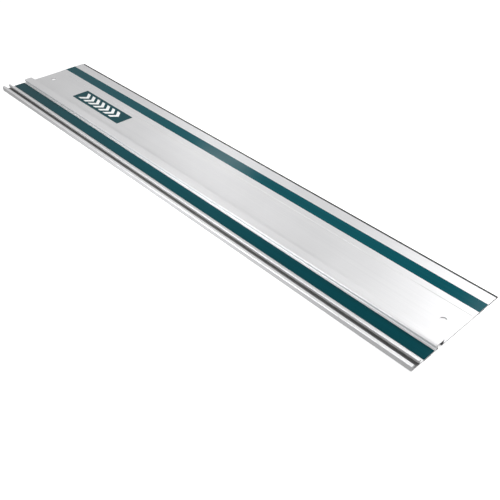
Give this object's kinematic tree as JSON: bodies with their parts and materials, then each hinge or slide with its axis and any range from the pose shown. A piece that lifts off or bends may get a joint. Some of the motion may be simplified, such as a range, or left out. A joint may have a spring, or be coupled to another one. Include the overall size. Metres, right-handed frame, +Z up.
{
  "type": "guide rail for a plunge-cut saw",
  "caption": "Long flat aluminium guide rail for a plunge-cut circular saw, with teal glide strips, an edge T-slot, a raised guide rib and a black splinter guard.",
  "frame": {"origin": "middle of the rail's length and of its whole width, on the plane that the grip strips and the splinter guard rest on", "axes": "+X along the rail from the labelled end to the other end, +Y across the rail from the edge channel to the cutting edge, +Z up"},
  "size_m": [1, 0.185, 0.0093],
  "materials": {
    "rail_alloy": "satin anodised, fine lines along the extrusion",
    "glide_film": "smooth low-friction film, satin",
    "adhesive_tape": "thin double-sided tape",
    "guard_rubber": "smooth black",
    "grip_foam": "fine closed-cell foam",
    "label_film": null
  },
  "bodies": {
    "root": {"rail_extrusion": "rail_alloy", "glide_strip_outer": "glide_film", "glide_tape_outer": "adhesive_tape", "glide_strip_inner": "glide_film", "glide_tape_inner": "adhesive_tape", "splinter_guard": "guard_rubber", "splinter_tape": "adhesive_tape", "grip_strip_outer": "grip_foam", "grip_tape_outer": "adhesive_tape", "grip_strip_inner": "grip_foam", "grip_tape_inner": "adhesive_tape", "label_plate": "label_film", "label_tape": "adhesive_tape"}
  },
  "joints": []
}
